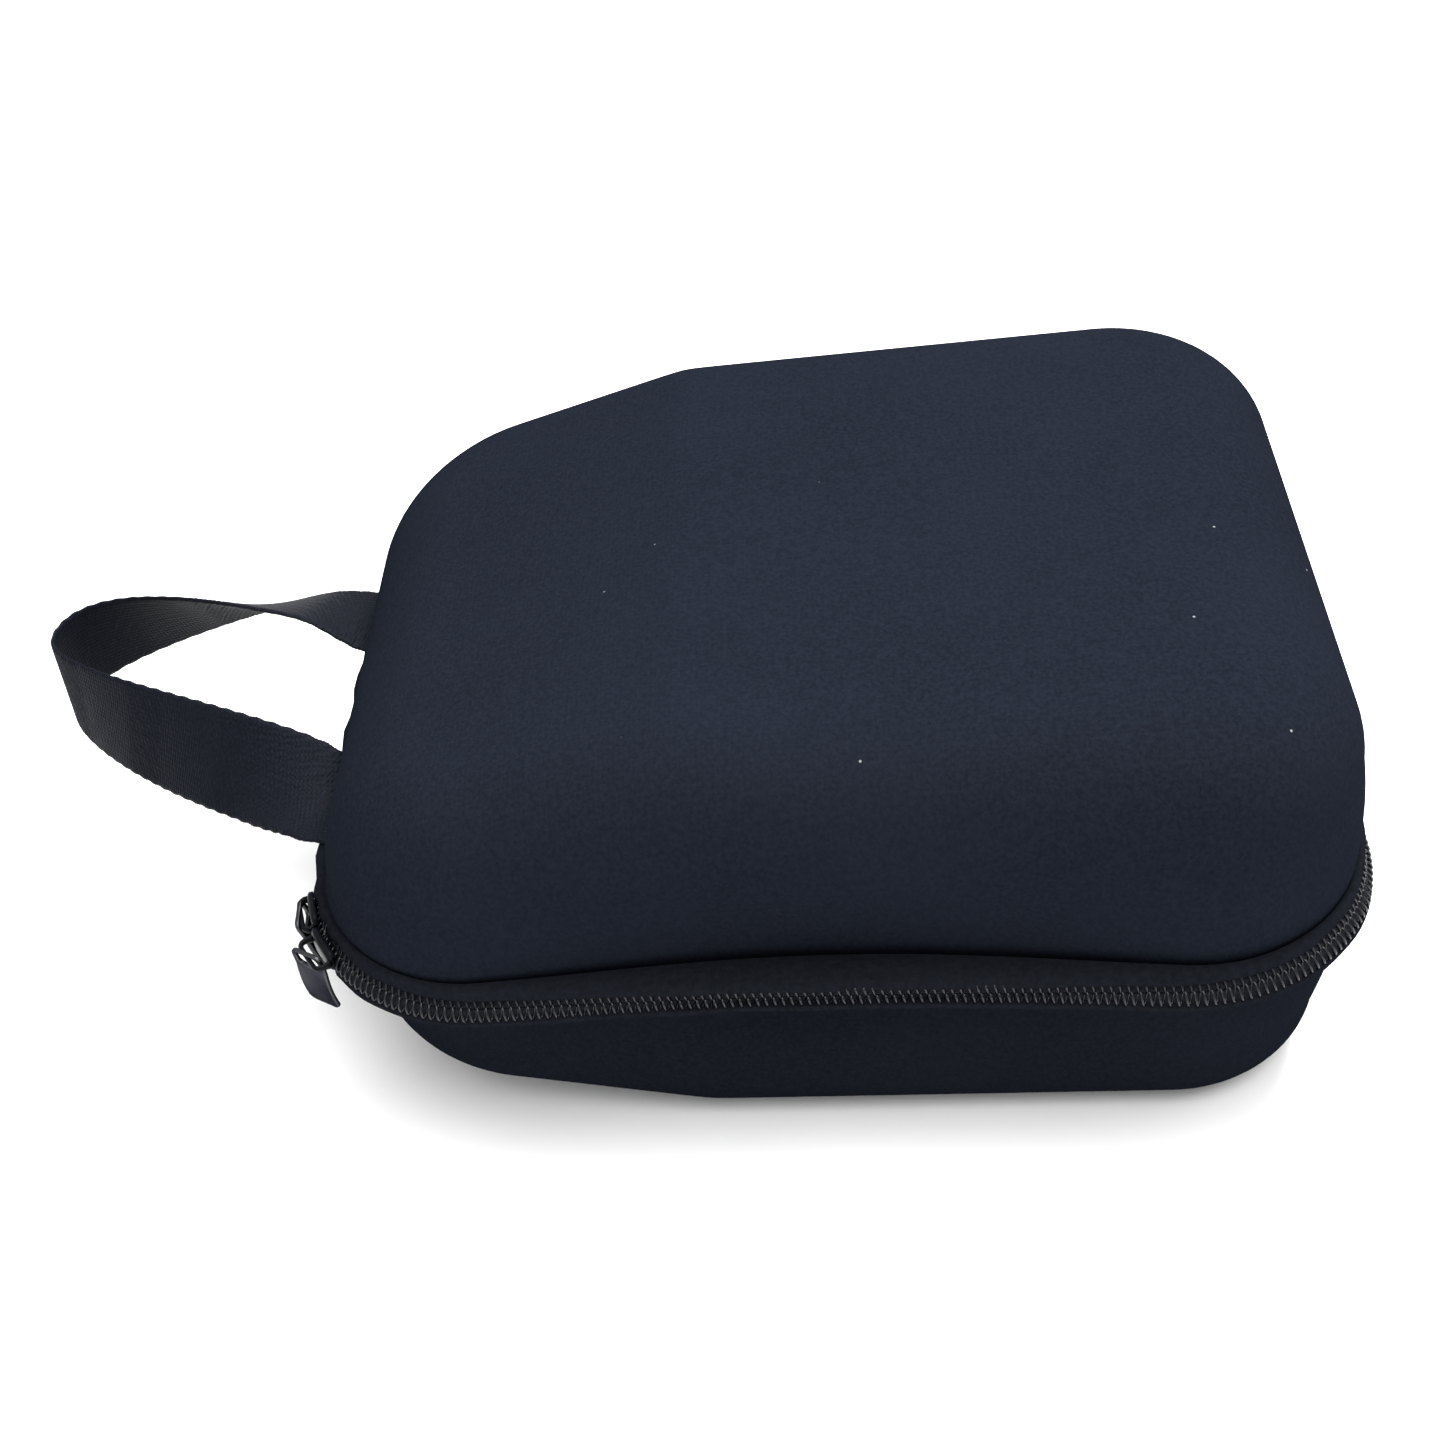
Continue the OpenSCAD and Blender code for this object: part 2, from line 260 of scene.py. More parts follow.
def woven_material(name, colour, thread=0.45, rough=0.7, sheen=0.06, bump=0.0001):
    """Plain woven tape, webbing or binding, with threads both ways."""
    n = Nodes(name)
    warp = n.waves(0.16 / (thread * MM), "X", 0.6)
    weft = n.waves(0.16 / (thread * MM), "Y", 0.6)
    rise = n.waves(0.16 / (thread * MM), "Z", 0.6)
    weave = n.math("ADD", n.math("MULTIPLY", warp, weft), n.math("MULTIPLY", rise, 0.6))
    fuzz = n.noise(1.0 / (thread * MM), 3.0, 0.7)
    n.link(n.mix(n.ramp(fuzz, 0.35, 0.7), shade(colour, 0.7), shade(colour, 1.6)), "Base Color")
    height = n.math("ADD", weave, n.math("MULTIPLY", fuzz, 0.8))
    n.link(n.bump(height, bump, 0.8), "Normal")
    n.set(Roughness=rough, Specular_IOR_Level=0.04, Sheen_Weight=sheen, Sheen_Roughness=0.4)
    n.set(Sheen_Tint=(0.7, 0.74, 0.85, 1.0))
    return n.material


def nylon_material(name, colour):
    """Smooth monofilament with a soft shine."""
    n = Nodes(name)
    n.link(n.mix(n.noise(900.0, 2.0), shade(colour, 0.7), shade(colour, 1.5)), "Base Color")
    n.link(n.bump(n.noise(2500.0), 0.00002, 0.4), "Normal")
    n.set(Roughness=0.22, Specular_IOR_Level=0.34)
    return n.material


def metal_material(name, colour, rough, scratch=0.1):
    """Cast metal with faint rubbing marks."""
    n = Nodes(name)
    marks = n.noise(700.0, 4.0, 0.7)
    n.link(n.mix(marks, shade(colour, 0.85), shade(colour, 1.15)), "Base Color")
    rough_low = n.add(
        "ShaderNodeMapRange",
        [("Value", marks), ("To Min", rough - scratch), ("To Max", rough + scratch)],
    )
    n.link(rough_low.outputs["Result"], "Roughness")
    n.link(n.bump(n.noise(1500.0, 2.0), 0.00001, 0.3), "Normal")
    n.set(Metallic=1.0, Specular_Tint=(0.25, 0.25, 0.27, 1.0))
    return n.material


def lacquer_material(name, colour):
    """Baked black enamel on a casting: smooth, with faint orange peel and handling marks."""
    n = Nodes(name)
    marks = n.noise(500.0, 4.0, 0.7)
    n.link(n.mix(marks, shade(colour, 0.7), shade(colour, 1.4)), "Base Color")
    gloss = n.add("ShaderNodeMapRange", [("Value", marks), ("To Min", 0.26), ("To Max", 0.42)])
    n.link(gloss.outputs["Result"], "Roughness")
    n.link(n.bump(n.noise(1200.0, 2.0), 0.00001, 0.4), "Normal")
    n.set(Specular_IOR_Level=0.06)
    return n.material


def foam_material():
    """Closed-cell foam, its pore hollows painted darker: painted shade."""
    n = Nodes("foam")
    pores = n.cells(1400.0)
    # Painted shade: the middle of each pore is coloured darker than the cell walls.
    n.link(n.mix(n.ramp(pores, 0.1, 0.5), (0.02, 0.02, 0.022, 1), (0.06, 0.06, 0.065, 1)), "Base Color")
    n.link(n.bump(pores, 0.0002, 0.5), "Normal")
    n.set(Roughness=0.9)
    return n.material


def mesh_material():
    """Power mesh: a dense net on a solid sheet, its small holes painted as near-black dots: painted shade
    for the gaps through the net.
    """
    n = Nodes("power_mesh")
    holes = n.ramp(n.cells(620.0), 0.38, 0.26)
    # Painted shade: the hole cells are coloured near-black, darker than the lining that would show through
    # them.
    n.link(n.mix(holes, (0.022, 0.022, 0.025, 1), (0.002, 0.002, 0.003, 1)), "Base Color")
    n.link(n.bump(holes, 0.0004, -1.0), "Normal")
    n.set(Roughness=0.7, Specular_IOR_Level=0.1, Sheen_Weight=0.02)
    return n.material


def floor_material():
    """Pale painted board."""
    n = Nodes("floor")
    grain = n.noise(9.0, 6.0, 0.6)
    n.link(n.mix(n.ramp(grain, 0.3, 0.7), (0.86, 0.86, 0.86, 1), (0.90, 0.90, 0.895, 1)), "Base Color")
    n.set(Roughness=0.55, Specular_IOR_Level=0.2)
    return n.material


# ---- mesh helpers ----


def make_mesh(name, points, faces, material, smooth=True):
    """A mesh object from points in millimetres, with its normals facing out."""
    mesh = bpy.data.meshes.new(name)
    mesh.from_pydata((np.asarray(points, float) * MM).tolist(), [], faces)
    bm = bmesh.new()
    bm.from_mesh(mesh)
    bmesh.ops.remove_doubles(bm, verts=bm.verts, dist=1e-7)
    bmesh.ops.recalc_face_normals(bm, faces=bm.faces)
    bm.to_mesh(mesh)
    bm.free()
    mesh.polygons.foreach_set("use_smooth", [smooth] * len(mesh.polygons))
    mesh.materials.append(material)
    piece = bpy.data.objects.new(name, mesh)
    bpy.context.scene.collection.objects.link(piece)
    return piece


def grid_faces(rows, columns, close_rows=False, close_columns=False, start=0):
    """Quads of a grid of points laid out row by row."""
    faces = []
    for i in range(rows if close_rows else rows - 1):
        for j in range(columns if close_columns else columns - 1):
            a, b = start + i * columns, start + (i + 1) % rows * columns
            k = (j + 1) % columns
            faces.append((a + j, a + k, b + k, b + j))
    return faces


def loft(name, rings, material, fans=True):
    """Skin through closed rings of equal length, with a fan over each end."""
    rings = np.array(rings, float)
    rows, columns = rings.shape[:2]
    points = rings.reshape(-1, 3).tolist()
    faces = grid_faces(rows, columns, close_columns=True)
    if fans:
        for row in (0, rows - 1):
            points.append(rings[row].mean(0).tolist())
            hub, first = len(points) - 1, row * columns
            faces += [(first + j, first + (j + 1) % columns, hub) for j in range(columns)]
    return make_mesh(name, points, faces, material)


def unit(v):
    """Vectors scaled to length 1."""
    v = np.asarray(v, float)
    return v / np.maximum(np.linalg.norm(v, axis=-1, keepdims=True), 1e-9)


def tube_points(path, radius, sides, normal, closed=False):
    """Rings of points round a path. normal gives each station's first cross direction."""
    path = np.asarray(path, float)
    if closed:
        along = unit(np.roll(path, -1, 0) - np.roll(path, 1, 0))
    else:
        along = unit(np.gradient(path, axis=0))
    first = unit(normal - (normal * along).sum(-1, keepdims=True) * along)
    second = np.cross(along, first)
    angle = 2 * math.pi * np.arange(sides) / sides
    radius = np.broadcast_to(np.asarray(radius, float), (len(path), 2))
    return (
        path[:, None]
        + radius[:, None, 0:1] * np.cos(angle)[None, :, None] * first[:, None]
        + radius[:, None, 1:2] * np.sin(angle)[None, :, None] * second[:, None]
    )


def smooth_curve(knots, count):
    """Points evenly spaced along a Catmull-Rom curve through the knots, with any extra columns."""
    knots = np.array(knots, float)
    padded = np.vstack([2 * knots[0] - knots[1], knots, 2 * knots[-1] - knots[-2]])
    pieces = []
    for i in range(1, len(padded) - 2):
        p0, p1, p2, p3 = padded[i - 1 : i + 3]
        t = np.linspace(0, 1, 40, endpoint=False)[:, None]
        pieces.append(
            0.5 * (2 * p1 + (p2 - p0) * t + (2 * p0 - 5 * p1 + 4 * p2 - p3) * t**2
                   + (3 * p1 - p0 - 3 * p2 + p3) * t**3)
        )
    dense = np.vstack([*pieces, knots[-1:]])
    walked = np.r_[0, np.cumsum(np.linalg.norm(np.diff(dense[:, :3], axis=0), axis=1))]
    at = np.linspace(0, walked[-1], count)
    return np.array([np.interp(at, walked, column) for column in dense.T]).T, walked[-1]


# ---- outline of the case in plan ----

ARC_STEPS, SIDE_STEPS, END_STEPS = 26, 36, 18


def run(start, end, steps):
    """Points along a straight side, without its last one."""
    t = np.linspace(0, 1, steps, endpoint=False)[:, None]
    return start + (end - start) * t


def turn(centre, radius, start, end):
    """Points round a corner between two angles in degrees, without the last one."""
    a = np.radians(np.linspace(start, end, ARC_STEPS, endpoint=False))
    return centre + radius * np.c_[np.cos(a), np.sin(a)]


def outline(inset, bow):
    """The plan outline, inset from the walls and drawn in by bow at mid length.

    It starts on the far side at x = 0, goes round the wide end, along the near side and round
    the narrow end, and has the same number of points for every inset."""
    r = CORNER_R - inset
    tilt = math.degrees(SIDE_ANGLE)
    out = np.array([-math.sin(SIDE_ANGLE), math.cos(SIDE_ANGLE)])
    wide, narrow = WIDE_C + r * out, NARROW_C + r * out
    start = wide + (narrow - wide) * wide[0] / (wide[0] - narrow[0])
    half = LENGTH / 2 - inset
    points = np.vstack(
        [
            run(start, wide, SIDE_STEPS),
            turn(WIDE_C, r, 90 + tilt, 0),
            run(np.array([half, WIDE_C[1]]), np.array([half, -WIDE_C[1]]), END_STEPS),
            turn(WIDE_C * MIRROR, r, 0, -90 - tilt),
            run(wide * MIRROR, narrow * MIRROR, 2 * SIDE_STEPS),
            turn(NARROW_C * MIRROR, r, -90 - tilt, -180),
            run(np.array([-half, -NARROW_C[1]]), np.array([-half, NARROW_C[1]]), END_STEPS),
            turn(NARROW_C, r, 180, 90 + tilt),
            run(narrow, start, SIDE_STEPS),
        ]
    )
    reach = LENGTH / 2 - 20
    share = np.clip(1 - (points[:, 0] / reach) ** 2, 0, None) ** 2
    points[:, 1] -= np.sign(points[:, 1]) * bow * share
    outside = max(-inset / FLANGE, 0)
    points[:, 0] *= 1 - END_TUCK / half * outside
    near = np.clip(-points[:, 1] / 40, 0, 1)
    points[:, 1] -= near * NEAR_SAG * outside
    return points


def bow_of(inset):
    """How far a line at that inset is drawn in: fully at the wall, hardly at the zipper."""
    share = min(max(-inset / (FLANGE - 1.8), 0), 1)
    return WAIST + (EDGE_BOW - WAIST) * share


def at_near_corner(xy):
    """0 along the middle of the near side and on the other sides, 1 round the near corners."""
    share = np.clip((np.abs(xy[:, 0]) - 15) / 65, 0, 1)
    return share**2 * (3 - 2 * share) * np.clip((-xy[:, 1] - 39.2) / 28, 0, 1)


def at_end(xy):
    """1 along the two short ends, fading to 0 before the near corners and along the sides."""
    return np.clip((np.abs(xy[:, 0]) - 92) / 8, 0, 1) * np.clip((xy[:, 1] + 60.2) / 14, 0, 1)


def at_narrow_end(xy):
    """1 at the narrow end, where the handle pulls the rim into waves, 0 elsewhere."""
    return np.clip((-xy[:, 0] - 98) / 4, 0, 1)


def towards_wide_end(xy):
    """0 up to x = 60, rising to 1 near the wide end."""
    return np.clip((xy[:, 0] - 60) / 40, 0, 1)


def rim_rings(section, ripple=0.0, tuck=0.0, sag=0.0, cover=0.0):
    """One ring per section point. section is (inset, height above the seam).

    ripple bends the outer part of the section up, down, in and out along the rim. tuck draws
    that part in at the near corners, and sag lowers it there. cover draws it out at the ends."""
    rings = []
    for d, z in section:
        xy = outline(d, bow_of(d))
        step = np.linalg.norm(np.roll(xy, -1, 0) - xy, axis=1)
        s = 2 * math.pi * np.cumsum(step) / step.sum()
        share = min(max(-d / (FLANGE - 1), 0), 1)
        free = ripple * share
        out = unit(xy)
        corner = at_near_corner(xy) * share
        xy = xy + out * (cover * share * at_end(xy) - tuck * corner)[:, None]
        wave = 0.6 * np.sin(31 * s + 1) + 0.4 * np.sin(53 * s)
        wave += END_WAVES * np.sin(104 * s) * at_narrow_end(xy)
        xy = xy + out * (free * wave)[:, None]
        lift = free * 0.5 * (np.sin(23 * s) + 0.6 * np.sin(41 * s + 2))
        rings.append(np.c_[xy, SEAM + z + lift - sag * corner])
    return rings


def rim_piece(name, section, material, **bends):
    """A closed band all round the rim with that cross-section."""
    rings = rim_rings(section, **bends)
    rings.append(rings[0])
    return loft(name, rings, material, fans=False)


def zipper_path(inset, z, step):
    """Evenly spaced points and outward directions along the zipper, from one end to the other."""
    loop = outline(inset, EDGE_BOW)
    keep = ~((loop[:, 1] > 0) & (np.abs(loop[:, 0]) < HINGE_HALF))
    path = loop[keep]
    walked = np.r_[0, np.cumsum(np.linalg.norm(np.diff(path, axis=0), axis=1))]
    at = np.arange(0, walked[-1], step)
    xy = np.c_[np.interp(at, walked, path[:, 0]), np.interp(at, walked, path[:, 1])]
    along = unit(np.gradient(xy, axis=0))
    kernel = max(3, int(2.5 / step)) | 1
    padded = np.pad(along, ((kernel // 2, kernel // 2), (0, 0)), mode="edge")
    along = unit(
        np.c_[[np.convolve(padded[:, i], np.ones(kernel) / kernel, "valid") for i in (0, 1)]].T
    )
    outward = np.c_[-along[:, 1], along[:, 0], np.zeros(len(xy))]
    along = np.c_[along, np.zeros(len(xy))]
    return np.c_[xy, np.full(len(xy), SEAM + z)], outward, along


# ---- moulded shells ----


def height_at(x, height, drop):
    """Height of a face at x: level towards the wide end, falling by drop to the narrow end."""
    t = TAPER_X - x
    return height - drop / (TAPER_X + LENGTH / 2) * 0.5 * (t + np.sqrt(t * t + TAPER_SOFT**2))


def face_rings(inset, height, drop, shoulder, draft, crown, fine, sunk=0.0):
    """One face of a shell as rings from its rim up to its crown, standing on z = 0."""
    rings = []
    for s in np.linspace(0, 1, 7 if fine else 4, endpoint=False):
        xy = outline(inset + draft * s, WAIST * (1 - s) ** 2 * (1 + 2 * s))
        xy[:, 0] += END_BULGE * math.sin(0.8 * math.pi * s) * towards_wide_end(xy)
        rings.append(np.c_[xy, s * (height_at(xy[:, 0], height, drop) - shoulder) - sunk * (s == 0)])
    for a in np.radians(np.linspace(0, 90, 19 if fine else 9)):
        xy = outline(draft + shoulder - (shoulder - inset) * math.cos(a), 0)
        swell = END_BULGE * math.sin(0.8 * math.pi) * math.cos(a) ** 2
        xy[:, 0] += swell * towards_wide_end(xy)
        z = height_at(xy[:, 0], height, drop) - shoulder + (shoulder - inset) * math.sin(a)
        rings.append(np.c_[xy, z])
    flat = outline(draft + shoulder, 0)
    for k in np.linspace(1, 0, 34 if fine else 10)[1:-1]:
        xy = flat * k
        z = height_at(xy[:, 0], height, drop) - inset + crown * (1 - k * k)
        rings.append(np.c_[xy, z])
    return rings


def shell_layer(name, inner, outer, is_lid, material, fine=False):
    """A closed layer of a shell between two insets, inner being nearer the outside."""
    if is_lid:
        shape = (LID_H, LID_DROP, LID_SHOULDER, LID_DRAFT, CROWN)
    else:
        shape = (LIP_LOW, BASE_RISE, BASE_SHOULDER, BASE_DRAFT, 0.0)
    sunk = 0.5 if fine else 0.0  # the cover runs on into the seam of the lip
    rings = face_rings(inner, *shape, fine, sunk)[::-1] + face_rings(outer, *shape, False)
    rings = np.array(rings)
    if is_lid:
        rings[..., 2] += LIP_TOP
    else:
        rings[..., 2] = LIP_LOW - rings[..., 2]
    return loft(name, rings, material)


def add_shells(covers, foam, lining):
    """The three bonded layers of each half: cover, foam and lining."""
    for body, is_lid in (("base", False), ("lid", True)):
        layers = (
            ("cover", 0.0, COVER_T, covers[body], "cover_fabric"),
            ("shell", COVER_T, COVER_T + FOAM_T, foam, "foam"),
            ("lining", COVER_T + FOAM_T, WALL_T, lining, "lining_fabric"),
        )
        for kind, t0, t1, material, slot in layers:
            piece = shell_layer(f"{body}_{kind}_soft", t0, t1, is_lid, material, kind == "cover")
            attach(piece, body)
            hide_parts(f"{body}_{kind}")


# ---- rim, zipper and hinge ----


def mirrored(section, is_lid):
    """A cross-section drawn for the lid, turned over for the base."""
    return section if is_lid else [(d, -z) for d, z in section]


def add_lips(material):
    """The folded edges that stand out round the rim, each over its half of the zipper."""
    sections = {"lid": lip_section(FLANGE - 0.9), "base": lip_section(FLANGE - 0.2)}
    bends = {"lid": {"tuck": 0.9, "cover": 0.8}, "base": {"tuck": -0.9, "sag": 0.9}}
    for body, section in sections.items():
        piece = rim_piece(
            f"{body}_lip_soft", mirrored(section, body == "lid"), material, ripple=0.14, **bends[body]
        )
        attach(piece, body)
        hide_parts(f"{body}_lip")


def lip_section(nose):
    """Cross-section of a folded edge, drawn for the lid, which stands out by nose."""
    return [
        (WALL_T, LIP_H - 0.1), (1.2, LIP_H), (0.3, LIP_H - 0.1), (-0.3, LIP_H + 0.1),
        (-1.0, LIP_H + 0.3), (-1.8, LIP_H + 0.25), (1.0 - nose, LIP_H + 0.05),
        (0.4 - nose, LIP_H - 0.3), (0.1 - nose, LIP_H - 0.65), (-nose, LIP_H - 1.0),
        (0.15 - nose, LIP_H - 1.35), (0.6 - nose, LIP_H - 1.5), (1.3 - nose, LIP_H - 1.5),
        (0.0, LIP_H - 1.5), (WALL_T, LIP_H - 1.5),
    ]


def chain_frame(path, outward):
    """Outward and upward directions of the zipper's chain, which leans back at the corners."""
    corner = at_near_corner(path)
    lean = np.radians(-6 + 38 * corner)[:, None]
    up = np.array([0.0, 0.0, 1.0])
    return outward * np.cos(lean) + up * np.sin(lean), up * np.cos(lean) - outward * np.sin(lean), corner


TAPE_SECTION = ((-0.5, 0.1), (-0.5, 2.1), (-2.6, 1.9), (-2.6, 1.3), (-1.1, 1.3), (-1.1, 0.1))


def add_tapes(material):
    """Woven tape behind the coil, turned under each lip."""
    for body, side in (("base", -1), ("lid", 1)):
        path, outward, _ = zipper_path(1.1 - FLANGE, 0.0, 1.6)
        out, up, corner = chain_frame(path, outward)
        size = 1 + 0.2 * corner
        rows = []
        for depth, height in TAPE_SECTION:
            rows.append(path + out * depth + up * (side * height * size)[:, None])
        piece = loft(f"{body}_zipper_tape_woven", np.array(rows).transpose(1, 0, 2), material)
        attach(piece, body)
        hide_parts(f"{body}_zipper_tape")


COIL_PITCH = 1.65
COIL_WIRE = 0.26
# Middle, half height, half depth and setback of each row's turns: the lower row stands before
# the upper one.
COIL_ROWS = {"base": (-0.75, 1.2, 0.62, 0.0), "lid": (1.15, 1.05, 0.42, 0.45)}


def add_coils(material):
    """Two rows of nylon coil that lie into each other along the seam."""
    per_turn = 14
    for body, side in (("base", -1), ("lid", 1)):
        middle, reach, deep, setback = COIL_ROWS[body]
        path, outward, _ = zipper_path(1.1 - FLANGE, 0.0, COIL_PITCH / per_turn)
        out, up, corner = chain_frame(path, outward)
        size = (1 + 0.25 * corner)[:, None]
        phase = -side * 2 * math.pi * np.arange(len(path)) / per_turn + side * 0.5 * math.pi
        rise = (reach * np.cos(phase))[:, None]
        depth = deep * np.sin(phase) - setback
        line = path + out * depth[:, None] + up * size * (middle + side * rise)
        rings = tube_points(line, COIL_WIRE, 6, out + 0.3 * up)
        piece = loft(f"{body}_zipper_coil_nylon", rings, material)
        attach(piece, body)
        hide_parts(f"{body}_zipper_coil")


def add_bindings(material):
    """Bias tape folded over the raw edge inside each rim."""
    for body, is_lid in (("base", False), ("lid", True)):
        gap = 0.5 if is_lid else 0.7
        inner, outer = WALL_T + gap, WALL_T + gap + 1.7
        section = [(inner, 0.6), (inner + 0.3, 0.35), (outer - 0.4, 0.35), (outer, 0.9),
                   (outer + 0.05, 2.6), (outer - 0.1, 4.5), (outer - 0.6, 5.0), (inner, 5.0)]
        piece = rim_piece(f"{body}_binding_tape", mirrored(section, is_lid), material)
        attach(piece, body)
        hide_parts(f"{body}_binding")


def add_hinge(outer_fabric, inner_fabric):
    """Fabric strips that run from the base to the lid along the far side."""
    strips = (
        ("hinge_panel", outer_fabric, 1.4 - FLANGE, -0.9, LIP_H - 0.6, "lip_fabric", 0.0),
        ("hinge_lining", inner_fabric, WALL_T + 2.9, 0.6, 4.0, "lining_fabric", 4.0),
    )
    for name, material, inset, thick, half, slot, shorter in strips:
        loop = outline(inset, bow_of(inset))
        out = outline(inset + thick, bow_of(inset))
        far = (loop[:, 1] > 0) & (np.abs(loop[:, 0]) < HINGE_HALF - shorter + 2)
        order = np.argsort(loop[far][:, 0])
        front, back = loop[far][order], out[far][order]
        rings = []
        for a, b in zip(front, back):
            levels = np.linspace(-half, half, 17)
            bulge = 0.25 * np.cos(levels / half * math.pi / 2)
            face = [(*(b + (b - a) * k), SEAM + z) for z, k in zip(levels, bulge)]
            rear = [(*a, SEAM + z) for z in levels[::-1]]
            rings.append(face + rear)
        piece = loft(f"{name}_fabric", rings, material)
        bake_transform(piece)
        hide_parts(name)


def add_end_tabs(material):
    """Small folded tabs over the two ends of the zipper."""
    low, high = span("zipper_end_tabs", 2)
    loop = outline(-FLANGE - 0.1, EDGE_BOW)
    far = loop[loop[:, 1] > 0]
    far = far[np.argsort(far[:, 0])]
    half = 4.0
    layers = ((half, 1.35, 0), (half, 1.35, 0.5), (half - 0.4, 1.0, 0.85))  # half sizes, distance out
    points, faces = [], []
    for side in (-1, 1):
        centre = side * (HINGE_HALF + 4.5)
        base = np.interp(centre + np.array([-half, half]), far[:, 0], far[:, 1])
        slope = (base[1] - base[0]) / (2 * half)
        for half_x, half_z, out in layers:
            for sx, sz in ((-1, -1), (1, -1), (1, 1), (-1, 1)):
                x = centre + sx * half_x
                y = base.mean() + slope * (x - centre) + out
                points.append((x, y, (low + high) / 2 + sz * half_z))
        first = len(points) - 12
        faces += grid_faces(3, 4, close_columns=True, start=first)
        faces += [tuple(first + i for i in range(4)), tuple(first + 8 + i for i in range(4))]
    piece = make_mesh("zipper_end_tabs_fabric", points, faces, material, smooth=False)
    bevel = piece.modifiers.new("round", "BEVEL")
    bevel.width, bevel.segments = 0.2 * MM, 3
    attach(piece, "base")
    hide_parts("zipper_end_tabs")


# ---- pocket in the lid ----


def add_pocket(mesh_fabric):
    """A flat net across the far half of the lid, swelling a little towards its middle."""
    low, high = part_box("mesh_pocket")
    edge_y = low[1] / MM
    z = (low[2] + high[2]) / 2 / MM
    loop = outline(WALL_T + 1.3, WAIST - 0.8)
    far = loop[loop[:, 1] > edge_y]
    far = far[np.argsort(far[:, 0])]
    xs = np.linspace(far[0, 0], far[-1, 0], 81)
    tops = np.interp(xs, far[:, 0], far[:, 1])
    thick = 0.25
    rings = []
    for x, top in zip(xs, tops):
        ys = np.linspace(edge_y, max(top, edge_y + 0.2), 25)
        swell = 2.2 * np.sin(math.pi * (ys - edge_y) / (tops.max() - edge_y)) * (1 - (x / xs[-1]) ** 2)
        sheet = [(x, y, z - s) for y, s in zip(ys, swell)]
        rings.append(sheet + [(a, b, c + thick) for a, b, c in sheet[::-1]])
    piece = loft("mesh_pocket_net", rings, mesh_fabric)
    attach(piece, "lid")
    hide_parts("mesh_pocket")


def add_elastic(elastic):
    """Ribbed elastic along the open edge of the pocket."""
    x0, x1 = span("pocket_elastic", 0)
    y0, y1 = span("pocket_elastic", 1)
    z0, z1 = span("pocket_elastic", 2)
    z0, z1 = z0 + 0.1, z1 - 0.1
    rings = []
    ribs = 7
    for x in np.linspace(x0 + 0.3, x1 - 0.3, 241):
        pinch = 0.08 * math.sin(x * 2.6)
        ys = np.linspace(y0 + 0.2, y1, 8 * ribs)
        wave = 0.16 * np.cos(2 * math.pi * ribs * (ys - y0) / (y1 - y0))
        under = [(x, y, z0 + w + pinch) for y, w in zip(ys, wave)]
        over = [(x, y, z1 - w + pinch) for y, w in zip(ys[::-1], wave[::-1])]
        rings.append(under + over)
    piece = loft("pocket_elastic_ribbed", rings, elastic)
    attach(piece, "lid")
    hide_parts("pocket_elastic")


# ---- handle ----

STRAP_W, STRAP_T = 22.6, 1.4
STRAP_Z = LIP_TOP + STRAP_T / 2 + 0.1
NEAR_Y, FAR_Y = -27.6, 37.8  # middle of each sewn end
CASE_END = -LENGTH / 2
LOOP_X, LOOP_Y = CASE_END - 74.5, 28.5  # the loop's end, in plan
LOOP_DROP, LOOP_LEAN = 1.9, 90.0  # its height below the sewn ends, and the lean of its face
LEG_STEPS = 9
# A leg of the loop: its curve in plan from the case to the loop's end, how far it arches up,
# and the lean of its face just outside the case.
NEAR_LEG = (
    ((CASE_END, NEAR_Y), (CASE_END - 15, NEAR_Y + 8), (LOOP_X, LOOP_Y - 16), (LOOP_X, LOOP_Y)),
    2.9, 27.0,
)
FAR_LEG = (
    ((CASE_END, FAR_Y), (CASE_END - 36, FAR_Y + 8.2), (LOOP_X, LOOP_Y + 22), (LOOP_X, LOOP_Y)),
    4.1, 4.0,
)
RIB_PITCH = 0.75
RIB_RISE = 0.05  # half height of a rib, and how much more it is where the brick pattern shows
BRICK_RISE = 0.03
PER_RIB = 5  # stations in each rib
STRAP_COLUMNS = 40
ROOT_X = CASE_END + 0.4  # where the sewn ends are cut off, inside the lid's wall
TACK_STEP = 0.5


def leg_knots(leg):
    """Points along a leg of the loop: X, Y, Z and how far its face leans outwards, in degrees."""
    corners, arch, start = leg
    p0, p1, p2, p3 = np.array(corners, float)
    t = np.linspace(0, 1, LEG_STEPS)[:, None]
    plan = (1 - t) ** 3 * p0 + 3 * t * (1 - t) ** 2 * p1 + 3 * t**2 * (1 - t) * p2 + t**3 * p3
    out = np.clip((plan[:, 0] - CASE_END) / (LOOP_X - CASE_END), 0, 1)
    height = STRAP_Z + 0.2 - LOOP_DROP * out + arch * np.sin(math.pi * np.sqrt(out))
    lean = (start + (LOOP_LEAN - start) * out) * np.clip(out / 0.15, 0, 1)
    return np.c_[plan, height, lean]


def loop_knots():
    """The whole loop, with the short stretches inside the wall at its two ends."""
    near, far = leg_knots(NEAR_LEG), leg_knots(FAR_LEG)[::-1]
    sewn = [[CASE_END + 7, y - 0.4, STRAP_Z, 0.0] for y in (NEAR_Y, FAR_Y)]
    return np.vstack([sewn[0], near, far[1:], sewn[1]])


def cut_root(piece):
    """Cuts the webbing off square to the case where it goes into the wall, and closes it."""
    bm = bmesh.new()
    bm.from_mesh(piece.data)
    geometry = bm.verts[:] + bm.edges[:] + bm.faces[:]
    bmesh.ops.bisect_plane(
        bm, geom=geometry, plane_co=(ROOT_X * MM, 0, 0), plane_no=(1, 0, 0), clear_outer=True
    )
    bmesh.ops.holes_fill(bm, edges=[e for e in bm.edges if e.is_boundary])
    bmesh.ops.recalc_face_normals(bm, faces=bm.faces)
    bm.to_mesh(piece.data)
    bm.free()


